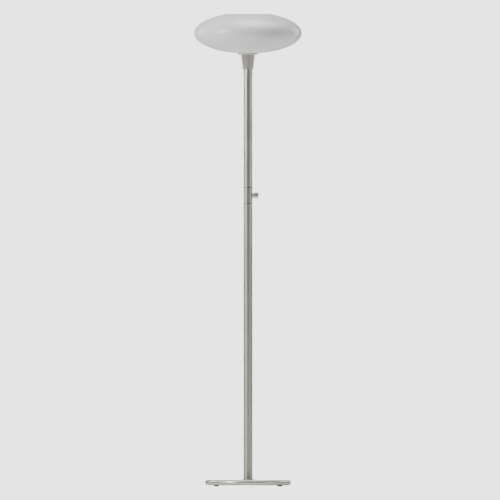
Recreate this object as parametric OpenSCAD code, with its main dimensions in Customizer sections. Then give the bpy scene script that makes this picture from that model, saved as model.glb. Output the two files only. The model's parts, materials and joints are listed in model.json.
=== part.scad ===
// Torchiere floor lamp: a weighted round base, a slim column of two tubes with a rotary dimmer
// housing between them, and a flattened ellipsoid glass shade, open at the top, on a tapered neck.
// Millimetres. The origin is on the floor under the column's axis, +Z is up, and the dimmer knob
// points along +X. Screw threads are drawn as plain cylinders, apart from the lamp cap's rings.

/* [Overall] */
// Height from the floor to the rim of the shade's opening
lamp_h = 1676.4; // [1500:0.1:1800]
// Diameter of the shade at its widest
shade_d = 381; // [340:0.1:420]
// Height of the shade, from its ground foot to its rim
shade_h = 139.7; // [130:0.1:160]
// Diameter of the base
base_d = 304.8; // [300:0.1:340]
// Diameter of the column's tubes
tube_d = 31.75; // [31.5:0.05:33]

/* [Base] */
// Thickness of the base, whose edge is a full round
base_t = 19; // [19:0.1:22]
// Height of the rubber feet
foot_h = 4; // [3.8:0.1:6]
// Diameter of a rubber foot
foot_d = 19; // [16:0.5:20]
// Distance of a foot's centre from the column's axis
foot_circle_r = 130; // [120:0.5:130]
// Angle of each foot from the left-right line
foot_angle = 30; // [25:1:45]
// Thickness of the spun steel cover and of the bottom plate
sheet_t = 1.5; // [1:0.1:1.6]
// Diameter of the collar between the base and the column
collar_d = 42; // [38:0.5:50]
// Height of that collar
collar_h = 3.5; // [3:0.1:6]

/* [Column] */
// Wall of the tubes
tube_wall = 1.2; // [1:0.05:1.7]
// Height of the dimmer knob's axis above the floor
knob_z = 1032.5; // [900:0.5:1150]
// Length of the dimmer housing
housing_h = 57; // [56:0.5:70]
// Chamfer on the ends of the tubes, which draws each joint as a fine groove
tube_chamfer = 0.8; // [0.2:0.1:0.8]

/* [Knob] */
// Diameter of the knob
knob_d = 21.3; // [20:0.1:24]
// Length of the knob
knob_l = 18.4; // [17:0.1:22]
// Gap between the column's wall and the knob, where the saddle washer shows
knob_gap = 3.2; // [3.1:0.1:4]
// Turn of the wiper and the knob from off to full, which sets the open part of the track
knob_turn = 300; // [270:5:300]

/* [Neck and shade] */
// Height of the tapered neck
neck_h = 51; // [50:0.5:56]
// Diameter of the neck where it meets the column
neck_bottom_d = 38; // [37:0.5:42]
// Diameter of the neck under the shade seat
neck_top_d = 51; // [50.5:0.5:56]
// Wall of the neck
neck_wall = 1.6; // [1.2:0.1:1.6]
// Diameter of the shade seat at its top
seat_d = 74; // [74:0.5:84]
// Thickness of the shade seat
seat_t = 4; // [3.5:0.1:5]
// Wall of the glass
glass_t = 3.5; // [3:0.1:4]
// Diameter of the opening in the top of the shade
mouth_d = 144; // [130:1:170]
// Diameter of the hole in the bottom of the shade
glass_hole_d = 43; // [42.5:0.1:44]

/* [Bulb] */
// Diameter of the bulb
bulb_d = 60; // [56:0.5:66]
// Length of the bulb from its tip to its crown
bulb_l = 109; // [105:1:115]

/* [Hidden] */

$fn = 96;
fine_fn = 240;          // for the large turned shapes
cut = 1;                // how far a cutting shape passes through what it cuts
slip = 0.05;            // radial clearance of a fitted or threaded pair
loose = 0.2;            // radial clearance of a hole that only lets something through

// Base levels
base_r = base_d / 2;
base_top = foot_h + base_t;
edge_r = base_t / 2;                    // radius of the rounded edge
edge_z = foot_h + edge_r;
flat_r = base_r - edge_r;               // where the edge's round begins
lip_w = 2.4;                            // how far the cover's rolled lip reaches in
lip_r = flat_r - lip_w;
plate_gap = 0.4;                        // between the lip and the bottom plate
plate_r = lip_r - plate_gap;
plate_top = foot_h + sheet_t;
weight_inset = 0.6;                     // from the plate's edge to the weight's
weight_r = plate_r - weight_inset;
weight_top = base_top - sheet_t;
web_t = 4;                              // iron left above the recess
recess_top = weight_top - web_t;
recess_r = 48;
channel_w = 14;                         // slot for the supply cord
channel_lap = 4;                        // how far it cuts into the recess
channel_top = recess_top + 0.5;         // just above the recess's ceiling

// M10 pipe nipples, which hold the lamp together and carry its leads
nipple_r = 5;
nipple_bore_r = 3.6;
nipple_hole_r = nipple_r + loose;
nut_af = 17;
anchor_washer_r = 20;
anchor_washer_t = 2;
anchor_lock_r = 8.6;
anchor_lock_t = 1.5;
anchor_lock_gap = 1.2;                  // the lock washer's split
anchor_nut_t = 3.5;
anchor_nut_z = recess_top - anchor_washer_t - anchor_lock_t - anchor_nut_t;
anchor_nipple_z = anchor_nut_z - 0.5;   // the nipple shows below its nut
plug_h = 20;
nipple_into_plug = 15.5;

// M4 screws through the feet
screw_r = 2;
screw_hole_r = screw_r + 0.3;
screw_head_r = 3.8;
screw_head_h = 2;
screw_reach = 9;                        // into the weight
foot_bore_r = screw_head_r + 0.7;
foot_edge = 1;                          // chamfer on a foot's lower edge
pad_web = 1.4;                          // rubber under the screw's head
screw_seat_z = foot_h - pad_web;
screw_end_z = plate_top + screw_reach;

// Cord bushing in the base's rear edge
bushing_bore_r = 4;
bushing_shank_r = 6.4;
bushing_flange_r = 8.2;
bushing_flange_y = flat_r + 4;          // from where the flange is shaped to the edge
bushing_barb_r = 7.2;
bushing_barb_l = 1.6;
bushing_y0 = flat_r + 0.3;
bushing_y1 = base_r + 1.6;
bushing_sink = 0.2;                     // the shank ends this far inside the flange's face

// Terminal block on the recess's ceiling, between the nipple and the cord channel
block_y = 31;
block_size = [26, 14, 9];
block_z = recess_top - block_size[2];
wire_hole_z = block_z + 4.6;
pole_x = 6;                             // distance of each wire hole from the middle
insert_r = 2.4;
insert_bore_r = 1.4;
insert_inset = 0.6;                     // from the block's face to the insert's end
clamp_screw_r = 1.3;
clamp_screw_y = 4.2;
clamp_well_r = 2;                       // wells that lead to the clamping screws
clamp_inset = 0.6;                      // from the block's lower face to the screws
block_screw_reach = 2.8;                // into the weight
block_hole_depth = 3.2;
block_head_r = 2.6;
block_head_h = 1.8;
block_well_r = block_head_r + loose;

// Column levels
tube_r = tube_d / 2;
tube_in_r = tube_r - tube_wall;
plug_r = tube_in_r - slip;
column_z0 = base_top + collar_h;
housing_z0 = knob_z - housing_h / 2;
housing_z1 = knob_z + housing_h / 2;
seat_top = lamp_h - shade_h - 1;        // the seat carries a 1 mm gasket
neck_top = seat_top - seat_t;
neck_z0 = neck_top - neck_h;
neck_floor_t = 3;
head_nut_t = 4;
coupler_wall = 1.5;
coupler_reach = 14;                     // into the tube
coupler_lap = 11;                       // into the housing

// Dimmer, along +X from the column's axis
case_x0 = -9;
case_x1 = 9.5;
case_w = 18;
case_h = 26;
case_wall = 1.5;
dimmer_bushing_r = 4.75;
dimmer_bushing_bore_r = 3.05;
dimmer_bushing_x1 = 21.2;
shaft_r = 3;
shaft_x0 = -1;
shaft_x1 = tube_r + knob_gap + knob_l - 3.5;
shaft_flat = 0.6;                       // depth of the D flat
saddle_r = 8;
saddle_x1 = tube_r + 2.5;
outer_nut_af = 12.7;
outer_nut_t = 2.2;
inner_nut_af = 13;
inner_nut_t = 2.4;
knob_x0 = tube_r + knob_gap;
knob_r = knob_d / 2;
knob_recess_r = 8.8;
knob_recess_l = 3.2;
shaft_flat_x = knob_x0 + knob_recess_l - 0.2;
knob_edge = 0.8;                        // chamfer on the knob's outer end
knob_back_edge = 0.3;                   // and on the end towards the column
knob_bore_x1 = shaft_x1 + 0.3;
set_screw_r = 1.6;
set_screw_x = knob_x0 + 9;
set_screw_tip = shaft_r - shaft_flat + slip;
set_screw_l = 6;
socket_r = 0.9;
socket_depth = 1.8;
wiper_x = 3.4;
wiper_t = 0.8;
wiper_r = 6.6;
wiper_w = 2.4;
wiper_hub = 1.2;                        // wall of its hub
wiper_tip_r = 0.7;
track_x = 5;
track_t = 1.6;
track_coat_t = 0.6;                     // how far the resistive ring stands off its board
track_in_r = 4;
track_edge = 0.6;                       // from the board's hole to the ring
track_w = 2.2;
track_gap = 360 - knob_turn;

// Lampholder and lamp cap
skirt_r = 20;
skirt_in_r = 14.7;
skirt_z0 = neck_top - 19.7;
skirt_z1 = skirt_z0 + 42;
skirt_floor = 4;
skirt_hole_r = 9;                       // in its floor, for the leads
holder_cap_r = 16;
holder_cap_wall = 2;
holder_cap_z0 = neck_z0 + 8.3;
holder_floor = 4;
core_h = 7.6;
core_top = skirt_z0 + skirt_floor + core_h;
contact_h = 1.2;
contact_sink = 1.2;                     // how deep the contact's strip lies in the core
contact_recess_r = 5;
contact_r = 1.6;
contact_strip = [8.8, 3.2, 0.4];
thread_pitch = 3.63;
thread_turns = 6;
thread_r = 12.62;                       // mean radius of the lamp cap's thread
thread_rise = 0.38;
thread_gap = 0.25;                      // from the lamp cap out to the holder's shell
shell_t = 0.4;
bulb_z0 = core_top + contact_h;
bulb_z1 = bulb_z0 + bulb_l;
tip_h = 0.8;                            // height of the tip's cone
tip_r = 2;
tip_flare_r = 4.6;
tip_neck_r = 2.5;
tip_neck_h = 3.4;
cap_z0 = bulb_z0 + 4.4;
cap_z1 = cap_z0 + thread_pitch * thread_turns;
cap_in_r = 11.5;
bulb_neck_r = cap_in_r - 0.1;
bulb_r = bulb_d / 2;
bulb_centre = bulb_z1 - bulb_r;
bulb_wall = 0.8;
joint_angle = 18;                       // where the bulb's shoulder meets its round crown
shoulder_pull = 24;                     // how far each end of the shoulder's curve runs straight on
neck_pull = 20;
stem_z = cap_z1 - 8;
stem_top = stem_z + 26;
stem_r = 3;

// Shade: two ellipses about one centre, cut by a ground foot below and by the mouth above
shade_r = shade_d / 2;
mouth_r = mouth_d / 2;
glass_foot_r = 36;
ring_r = 29;
foot_share = sqrt(1 - pow(glass_foot_r / shade_r, 2));
rim_share = sqrt(1 - pow((mouth_r + glass_t / 2) / shade_r, 2));
shade_b = shade_h / (foot_share + rim_share);       // half-height of the whole ellipse
shade_z = lamp_h - shade_b * rim_share;             // height of the ellipse's centre
glass_foot_z = lamp_h - shade_h;
inner_a = shade_r - glass_t;
inner_b = shade_b - glass_t;
glass_floor_z = round(10 * (shade_z - inner_b * sqrt(1 - pow(ring_r / inner_a, 2)))) / 10;
gasket_t = 1;
ring_z = glass_floor_z + gasket_t;
gasket_inset = 0.5;                     // from the edges of what a gasket lies on
ring_h = 9;
ring_flange_h = 3;
ring_hub_r = 24;
ring_notch = [3, 2.4];
ring_notch_depth = 0.9;

// Leads: radius, and the points of each route, chosen by hand
lead_r = 1;
lead_sides = 8;
lead_steps = 4;                         // rings between two points of a route
terminal_y = block_y - 3;
dimmer_in_z = knob_z - case_h / 2;
dimmer_out_z = knob_z + case_h / 2;
line_route = [
    [pole_x, terminal_y, wire_hole_z], [pole_x, 24, wire_hole_z], [pole_x, 20, wire_hole_z],
    [5, 12, 8.2], [2.6, 4, 7.4], [1.2, -0.8, 9.6], [0.6, -1.5, 16], [0.4, -1.5, 30],
    [0.4, -1.5, 44], [0.5, -3.5, 70], [1, -6, 180], [-2, -7, 420], [2, -6, 700], [-1, -6, 930],
    [-3, -5, dimmer_in_z - 20], [-3, -5, dimmer_in_z - 10], [-3, -5, dimmer_in_z]
];
neutral_route = [
    [-pole_x, terminal_y, wire_hole_z], [-pole_x, 24, wire_hole_z], [-pole_x, 20, wire_hole_z],
    [-4, 13, 8.6], [-2, 6, 7.6], [-0.8, 2, 9.6], [0, 1.6, 16], [0.3, 1.6, 30], [0.3, 1.8, 44],
    [0.5, 5, 70], [0, 9, 180], [2, 8, 420], [-2, 9, 700], [0, 10.4, knob_z - 70],
    [0, 10.4, knob_z - 30], [0, 10.4, knob_z], [0, 10.4, knob_z + 40], [1, 9, knob_z + 110],
    [-1, 7, 1300], [0.4, 3.5, neck_z0 - 60], [0.3, 1.6, neck_z0 - 34], [0.3, 1.6, neck_z0 - 12],
    [0.3, 1.6, neck_z0 + 8], [1, 2.4, neck_z0 + 17], [2.5, 5.4, neck_z0 + 24],
    [2.5, 5.4, neck_z0 + 28], [2.5, 5.4, skirt_z0 + skirt_floor]
];
switched_route = [
    [-3, -4, dimmer_out_z], [-3, -4, dimmer_out_z + 10], [-3, -4, dimmer_out_z + 20],
    [-1, -5, knob_z + 70], [2, -6, 1200], [-1, -5, 1320], [0.4, -3.5, neck_z0 - 60],
    [0.4, -1.4, neck_z0 - 34], [0.4, -1.4, neck_z0 - 12], [0.4, -1.4, neck_z0 + 8],
    [-0.6, -2.2, neck_z0 + 17], [-2.5, -5.4, neck_z0 + 24], [-2.5, -5.4, neck_z0 + 28],
    [-2.5, -5.4, skirt_z0 + skirt_floor]
];

// ---- Shared shapes ----

// A ring about the Z axis, standing on z
module ring(r_in, r_out, z, h) {
    translate([0, 0, z]) rotate_extrude() translate([r_in, 0]) square([r_out - r_in, h]);
}

// A tube with a small chamfer on each outer end
module tube(r_in, r_out, z0, z1, chamfer) {
    rotate_extrude(convexity = 4)
        polygon([
            [r_in, z0], [r_out - chamfer, z0], [r_out, z0 + chamfer],
            [r_out, z1 - chamfer], [r_out - chamfer, z1], [r_in, z1]
        ]);
}

// A hexagonal nut about the Z axis
module hex_nut(af, bore_r, z, h) {
    translate([0, 0, z])
        difference() {
            cylinder(r = af / 2 / cos(30), h = h, $fn = 6);
            translate([0, 0, -cut]) cylinder(r = bore_r, h = h + 2 * cut);
        }
}

// Lays a shape that is drawn about Z along +X, at the height of the knob
module along_x() {
    translate([0, 0, knob_z]) rotate([0, 90, 0]) children();
}

// Places a shape at each foot
module at_feet() {
    for (angle = [foot_angle, 180 - foot_angle, 180 + foot_angle, 360 - foot_angle])
        rotate([0, 0, angle]) translate([foot_circle_r, 0, 0]) children();
}

// Half of the base's outline, taken in by an inset
module base_outline(inset) {
    square_h = base_t - 2 * inset;
    translate([0, foot_h + inset]) square([flat_r, square_h]);
    intersection() {
        translate([flat_r, edge_z]) circle(r = edge_r - inset);
        translate([flat_r - slip, foot_h]) square([2 * edge_r, base_t]);
    }
}

// Bezier curve through n + 1 points from four controls
function bezier(a, b, c, d, n) = [
    for (i = [0 : n])
        let (t = i / n, s = 1 - t)
            s * s * s * a + 3 * s * s * t * b + 3 * s * t * t * c + t * t * t * d
];

// Catmull-Rom curve through the points of a route, with a number of steps between two points
function smooth_at(p, i, t) =
    let (
        last = len(p) - 1,
        a = p[max(i - 1, 0)], b = p[i], c = p[min(i + 1, last)], d = p[min(i + 2, last)]
    )
    0.5 * (2 * b + (c - a) * t + (2 * a - 5 * b + 4 * c - d) * t * t
        + (3 * b - a - 3 * c + d) * t * t * t);
function smooth_route(p, steps) = [
    for (i = [0 : len(p) - 2]) for (k = [0 : steps - 1]) smooth_at(p, i, k / steps),
    p[len(p) - 1]
];
function unit(v) = v / norm(v);

// A round lead swept along a route that never runs along X
module lead(route) {
    path = smooth_route(route, lead_steps);
    last = len(path) - 1;
    points = [
        for (i = [0 : last])
            let (
                t = unit(path[min(i + 1, last)] - path[max(i - 1, 0)]),
                u = unit([1, 0, 0] - t[0] * t),
                v = cross(t, u)
            )
            for (k = [0 : lead_sides - 1])
                path[i] + lead_r * (cos(360 * k / lead_sides) * u + sin(360 * k / lead_sides) * v)
    ];
    sides = [
        for (i = [0 : last - 1]) for (k = [0 : lead_sides - 1])
            let (a = i * lead_sides + k, b = i * lead_sides + (k + 1) % lead_sides)
                [a, a + lead_sides, b + lead_sides, b]
    ];
    ends = [
        [for (k = [0 : lead_sides - 1]) k],
        [for (k = [lead_sides - 1 : -1 : 0]) last * lead_sides + k]
    ];
    polyhedron(points = points, faces = concat(sides, ends), convexity = 4);
}

// ---- Base ----

// Spun steel cover with a full-round edge that is rolled in under the base
module base_cover() {
    color("silver")
        difference() {
            rotate_extrude($fn = fine_fn, convexity = 6)
                difference() {
                    base_outline(0);
                    base_outline(sheet_t);
                    translate([-cut, foot_h - cut]) square([lip_r + cut, sheet_t + 2 * cut]);
                    translate([-cut, 0]) square([nipple_hole_r + cut, base_top + cut]);
                }
            translate([0, flat_r - cut, edge_z])
                rotate([-90, 0, 0]) cylinder(r = bushing_shank_r + slip, h = 2 * edge_r);
        }
}

// Cast iron weight, with a recess for the anchor nut and a channel for the supply cord
module base_weight() {
    color("dimgray")
        difference() {
            translate([0, 0, plate_top]) cylinder(r = weight_r, h = weight_top - plate_top, $fn = fine_fn);
            translate([0, 0, plate_top - cut]) cylinder(r = recess_r, h = recess_top - plate_top + cut);
            translate([0, 0, plate_top]) cylinder(r = nipple_hole_r, h = base_t);
            translate([-channel_w / 2, recess_r - channel_lap, plate_top - cut])
                cube([channel_w, base_r, channel_top - plate_top + cut]);
            at_feet()
                translate([0, 0, plate_top - cut])
                    cylinder(r = screw_r + slip, h = screw_end_z - plate_top + 2 * cut);
            translate([0, block_y, recess_top - cut])
                cylinder(r = clamp_screw_r + slip, h = cut + block_hole_depth);
        }
}

// Steel plate that closes the base from below
module bottom_plate() {
    color("darkgray")
        difference() {
            translate([0, 0, foot_h]) cylinder(r = plate_r, h = sheet_t, $fn = fine_fn);
            at_feet() translate([0, 0, foot_h - cut]) cylinder(r = screw_hole_r, h = sheet_t + 2 * cut);
        }
}

// Four rubber feet, each with a counterbore that hides its screw's head
module foot_pads() {
    foot_r = foot_d / 2;
    color("black")
        at_feet()
            rotate_extrude()
                polygon([
                    [screw_hole_r, foot_h], [foot_r, foot_h], [foot_r, foot_edge],
                    [foot_r - foot_edge, 0], [foot_bore_r, 0], [foot_bore_r, screw_seat_z],
                    [screw_hole_r, screw_seat_z]
                ]);
}

// Four cross-head screws, which hold the feet and the bottom plate to the weight
module foot_screws() {
    slot = [4.4, 0.9];
    slot_depth = 1.1;
    color("gray")
        at_feet()
            difference() {
                union() {
                    translate([0, 0, screw_seat_z - screw_head_h])
                        cylinder(r = screw_head_r, h = screw_head_h);
                    translate([0, 0, screw_seat_z - cut])
                        cylinder(r = screw_r, h = screw_end_z - screw_seat_z + cut);
                }
                for (turn = [0, 90])
                    rotate([0, 0, turn])
                        translate([-slot[0] / 2, -slot[1] / 2, screw_seat_z - screw_head_h - cut])
                            cube([slot[0], slot[1], cut + slot_depth]);
            }
}

// Nylon bushing in the rear of the rounded edge, for a supply cord of up to 7.5 mm
module cord_bushing() {
    color("black")
        difference() {
            union() {
                difference() {
                    translate([0, bushing_flange_y, edge_z])
                        rotate([-90, 0, 0])
                            cylinder(r = bushing_flange_r, h = bushing_y1 - bushing_flange_y);
                    rotate_extrude($fn = fine_fn) base_outline(-slip / 2);
                }
                translate([0, bushing_y0, edge_z])
                    rotate([-90, 0, 0])
                        cylinder(r = bushing_shank_r, h = bushing_y1 - bushing_y0 - bushing_sink);
                translate([0, bushing_y0, edge_z])
                    rotate([-90, 0, 0]) cylinder(r = bushing_barb_r, h = bushing_barb_l);
            }
            translate([0, flat_r - cut, edge_z])
                rotate([-90, 0, 0]) cylinder(r = bushing_bore_r, h = 3 * edge_r);
        }
}

// Two-pole nylon block where the supply cord is joined to the lamp's own leads
module terminal_block() {
    color("ivory")
        translate([0, block_y, block_z])
            difference() {
                translate([-block_size[0] / 2, -block_size[1] / 2, 0]) cube(block_size);
                for (x = [-pole_x, pole_x]) {
                    translate([x, block_size[1] / 2 + cut, wire_hole_z - block_z])
                        rotate([90, 0, 0]) cylinder(r = insert_r + slip, h = block_size[1] + 2 * cut);
                    for (y = [-clamp_screw_y, clamp_screw_y])
                        translate([x, y, -cut]) cylinder(r = clamp_well_r, h = cut + wire_hole_z - block_z);
                }
                translate([0, 0, -cut]) cylinder(r = clamp_screw_r + loose, h = block_size[2] + 2 * cut);
                translate([0, 0, -cut]) cylinder(r = block_well_r, h = cut + clamp_inset + block_head_h);
            }
}

// Brass tubes in the block's wire holes
module terminal_inserts() {
    color("goldenrod")
        for (x = [-pole_x, pole_x])
            difference() {
                translate([x, block_y + block_size[1] / 2 - insert_inset, wire_hole_z])
                    rotate([90, 0, 0])
                        difference() {
                            cylinder(r = insert_r, h = block_size[1] - 2 * insert_inset);
                            translate([0, 0, -cut]) cylinder(r = insert_bore_r, h = block_size[1] + cut);
                        }
                for (y = [-clamp_screw_y, clamp_screw_y])
                    translate([x, block_y + y, block_z - cut])
                        cylinder(r = clamp_screw_r + slip, h = cut + wire_hole_z - block_z);
            }
}

// Four clamping screws, slotted from below
module terminal_screws() {
    head_z = block_z + clamp_inset;
    tip_z = wire_hole_z - lead_r - slip;
    slot_w = 0.5;
    slot_depth = 0.7;
    color("silver")
        for (x = [-pole_x, pole_x], y = [-clamp_screw_y, clamp_screw_y])
            translate([x, block_y + y, head_z])
                difference() {
                    cylinder(r = clamp_screw_r, h = tip_z - head_z);
                    translate([-clamp_well_r, -slot_w / 2, -cut])
                        cube([2 * clamp_well_r, slot_w, cut + slot_depth]);
                }
}

// Screw that holds the block to the weight
module terminal_block_screw() {
    slot_w = 0.6;
    slot_depth = 0.8;
    color("silver")
        translate([0, block_y, block_z + clamp_inset])
            difference() {
                union() {
                    cylinder(r = block_head_r, h = block_head_h);
                    cylinder(r = clamp_screw_r, h = block_size[2] - clamp_inset + block_screw_reach);
                }
                translate([-block_well_r, -slot_w / 2, -cut])
                    cube([2 * block_well_r, slot_w, cut + slot_depth]);
            }
}

// Plate washer under the weight's web
module anchor_washer() {
    color("silver") ring(nipple_hole_r, anchor_washer_r, recess_top - anchor_washer_t, anchor_washer_t);
}

// Split lock washer
module anchor_lock_washer() {
    color("gray")
        translate([0, 0, recess_top - anchor_washer_t - anchor_lock_t])
            difference() {
                ring(nipple_hole_r, anchor_lock_r, 0, anchor_lock_t);
                translate([0, -anchor_lock_gap / 2, -cut])
                    cube([anchor_lock_r + cut, anchor_lock_gap, anchor_lock_t + 2 * cut]);
            }
}

// Nut that draws the base against the column
module anchor_nut() {
    color("silver") hex_nut(nut_af, nipple_r + slip, anchor_nut_z, anchor_nut_t);
}

// Pipe nipple from the anchor nut up into the lower tube's plug
module anchor_nipple() {
    color("goldenrod")
        ring(nipple_bore_r, nipple_r, anchor_nipple_z, column_z0 + nipple_into_plug - anchor_nipple_z);
}

// Collar that the column stands on, with a rounded shoulder
module pole_collar() {
    shoulder = 1.5;
    collar_r = collar_d / 2;
    color("silver")
        rotate_extrude($fn = fine_fn)
            translate([0, base_top]) {
                translate([nipple_hole_r, 0]) square([collar_r - shoulder - nipple_hole_r, collar_h]);
                translate([nipple_hole_r, 0]) square([collar_r - nipple_hole_r, collar_h - shoulder]);
                translate([collar_r - shoulder, collar_h - shoulder]) circle(r = shoulder);
            }
}

// ---- Column ----

// Long tube between the base's collar and the dimmer housing
module lower_tube() {
    color("silver") tube(tube_in_r, tube_r, column_z0, housing_z0, tube_chamfer);
}

// Threaded plug brazed into the lower tube's foot
module lower_tube_plug() {
    color("goldenrod") ring(nipple_r + slip, plug_r, column_z0, plug_h);
}

// Sleeve that joins a tube to the dimmer housing from inside
module coupler(z) {
    color("goldenrod") ring(plug_r - coupler_wall, plug_r, z, coupler_reach + coupler_lap);
}

// Sleeve below the dimmer
module lower_coupler() {
    coupler(housing_z0 - coupler_reach);
}

// Sleeve above the dimmer
module upper_coupler() {
    coupler(housing_z1 - coupler_lap);
}

// Short length of tube with a radial hole for the dimmer's bushing
module switch_housing() {
    color("silver")
        difference() {
            tube(tube_in_r, tube_r, housing_z0, housing_z1, tube_chamfer);
            along_x() cylinder(r = dimmer_bushing_r + 0.1, h = tube_d);
        }
}

// Tube between the dimmer housing and the neck
module upper_tube() {
    color("silver") tube(tube_in_r, tube_r, housing_z1, neck_z0, tube_chamfer);
}

// Threaded plug brazed into the upper tube's head
module upper_tube_plug() {
    color("goldenrod") ring(nipple_r + slip, plug_r, neck_z0 - plug_h, plug_h);
}

// ---- Dimmer ----

// Moulded case, open at the back, with a hole for the shaft in its front wall
module dimmer_case() {
    inner = [case_x1 - case_x0, case_w - 2 * case_wall, case_h - 2 * case_wall];
    color("dimgray")
        difference() {
            translate([case_x0 + case_wall, -case_w / 2, knob_z - case_h / 2])
                cube([case_x1 - case_x0 - case_wall, case_w, case_h]);
            translate([case_x0, -inner[1] / 2, knob_z - inner[2] / 2])
                cube([inner[0] - case_wall, inner[1], inner[2]]);
            along_x() cylinder(r = shaft_r + 0.3, h = case_x1 + cut);
        }
}

// Aluminium plate that closes the case and cools the triac
module dimmer_back_plate() {
    color("silver")
        translate([case_x0, -case_w / 2, knob_z - case_h / 2]) cube([case_wall, case_w, case_h]);
}

// Triac on the back plate, with its metal tab
module dimmer_triac() {
    tab = [1.2, 10, 13];
    body = [2.8, 10, 9];
    drop = 10.5;                        // from the knob's axis down to its foot
    color("black")
        translate([case_x0 + case_wall, -tab[1] / 2, knob_z - drop]) {
            cube(tab);
            translate([tab[0], 0, 0]) cube(body);
        }
}

// Toroidal choke on the back plate, above the triac
module dimmer_choke() {
    ring_r = 2.6;
    wound_r = 1.4;
    rise = 7.3;                         // from the knob's axis up to its centre
    color("darkgoldenrod")
        translate([case_x0 + case_wall, 0, knob_z + rise])
            rotate([0, 90, 0])
                rotate_extrude() translate([ring_r, wound_r]) circle(r = wound_r);
}

// Resistive wafer in front of the wiper: an open ring on a square board
module dimmer_track() {
    board_w = case_w - 2 * case_wall;
    color("saddlebrown")
        along_x()
            translate([0, 0, track_x]) {
                difference() {
                    translate([-board_w / 2, -board_w / 2, track_coat_t])
                        cube([board_w, board_w, track_t - track_coat_t]);
                    cylinder(r = track_in_r, h = track_t + cut);
                }
                rotate([0, 0, track_gap / 2])
                    rotate_extrude(angle = knob_turn)
                        translate([track_in_r + track_edge, 0]) square([track_w, track_coat_t + slip]);
            }
}

// Threaded brass bushing that holds the dimmer to the housing and guides the shaft
module dimmer_bushing() {
    color("goldenrod")
        along_x()
            ring(dimmer_bushing_bore_r, dimmer_bushing_r, case_x1, dimmer_bushing_x1 - case_x1);
}

// Nut on the bushing, inside the housing
module dimmer_inner_nut() {
    color("silver") along_x() hex_nut(inner_nut_af, dimmer_bushing_r + slip, case_x1, inner_nut_t);
}

// Round washer whose back is curved to sit on the column
module dimmer_saddle_washer() {
    color("silver")
        difference() {
            along_x() cylinder(r = saddle_r, h = saddle_x1);
            translate([0, 0, knob_z - knob_d]) cylinder(r = tube_r + 0.02, h = 2 * knob_d, $fn = fine_fn);
            along_x() cylinder(r = dimmer_bushing_r + slip, h = saddle_x1 + cut);
        }
}

// Nut on the bushing, inside the knob's recess
module dimmer_outer_nut() {
    color("silver") along_x() hex_nut(outer_nut_af, dimmer_bushing_r + slip, saddle_x1, outer_nut_t);
}

// Shaft with a D flat, which faces down when the dimmer is off
module dimmer_shaft() {
    color("silver")
        difference() {
            along_x() translate([0, 0, shaft_x0]) cylinder(r = shaft_r, h = shaft_x1 - shaft_x0);
            translate([shaft_flat_x, -shaft_r - cut, knob_z - shaft_r - cut])
                cube([knob_l, 2 * (shaft_r + cut), shaft_flat + cut]);
        }
}

// Brass arm on the shaft that sweeps the track, at the end of the track where the lamp is off
module dimmer_wiper() {
    color("goldenrod")
        along_x()
            translate([0, 0, wiper_x])
                rotate([0, 0, -track_gap / 2])
                    difference() {
                        union() {
                            cylinder(r = shaft_r + wiper_hub, h = wiper_t);
                            translate([0, -wiper_w / 2, 0]) cube([wiper_r, wiper_w, wiper_t]);
                            translate([wiper_r - 1, 0, 0])
                                cylinder(r = wiper_tip_r, h = track_x - wiper_x - 2 * slip);
                        }
                        translate([0, 0, -cut]) cylinder(r = shaft_r + slip / 5, h = wiper_t + 2 * cut);
                    }
}

// Turned knob with a recess over the nut, a D bore and a hole for its set screw
module dimmer_knob() {
    color("silver")
        difference() {
            along_x()
                rotate_extrude()
                    polygon([
                        [0, knob_x0], [knob_r - knob_back_edge, knob_x0],
                        [knob_r, knob_x0 + knob_back_edge], [knob_r, knob_x0 + knob_l - knob_edge],
                        [knob_r - knob_edge, knob_x0 + knob_l], [0, knob_x0 + knob_l]
                    ]);
            along_x() translate([0, 0, knob_x0 - cut]) cylinder(r = knob_recess_r, h = knob_recess_l + cut);
            difference() {
                along_x() cylinder(r = shaft_r + slip / 2, h = knob_bore_x1);
                translate([knob_x0 + knob_recess_l, -2 * shaft_r, knob_z - 3 * shaft_r])
                    cube([knob_l, 4 * shaft_r, 2 * shaft_r + shaft_flat - slip]);
            }
            translate([set_screw_x, 0, knob_z - knob_r - cut])
                cylinder(r = set_screw_r + slip, h = knob_r + cut - shaft_r + shaft_flat + slip);
        }
}

// Socket set screw that bears on the shaft's flat
module knob_set_screw() {
    color("dimgray")
        translate([set_screw_x, 0, knob_z - set_screw_tip - set_screw_l])
            difference() {
                cylinder(r = set_screw_r, h = set_screw_l);
                translate([0, 0, -cut]) cylinder(r = socket_r, h = cut + socket_depth, $fn = 6);
            }
}

// ---- Leads inside the column ----

// Live conductor from the terminal block to the dimmer
module line_lead() {
    color("black") lead(line_route);
}

// Neutral conductor from the terminal block past the dimmer to the lampholder
module neutral_lead() {
    color("white") lead(neutral_route);
}

// Dimmed conductor from the dimmer to the lampholder
module switched_lead() {
    color("firebrick") lead(switched_route);
}

// ---- Neck and lampholder ----

// Pipe nipple from the upper tube's plug through the neck into the lampholder
module head_nipple() {
    z0 = neck_z0 - nipple_into_plug;
    color("goldenrod") ring(nipple_bore_r, nipple_r, z0, holder_cap_z0 + holder_floor - z0);
}

// Tapered cup that carries the shade seat
module neck() {
    round_r = 1.6;
    r0 = neck_bottom_d / 2;
    r1 = neck_top_d / 2;
    slope = (r1 - r0) / neck_h;
    color("silver")
        rotate_extrude($fn = fine_fn, convexity = 4)
            polygon(concat(
                [[nipple_hole_r, neck_z0]],
                [for (a = [0 : 15 : 90]) [r0 - round_r * (1 - sin(a)), neck_z0 + round_r * (1 - cos(a))]],
                [[r1, neck_top], [r1 - neck_wall, neck_top]],
                [[r0 + slope * neck_floor_t - neck_wall, neck_z0 + neck_floor_t]],
                [[nipple_hole_r, neck_z0 + neck_floor_t]]
            ));
}

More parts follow.
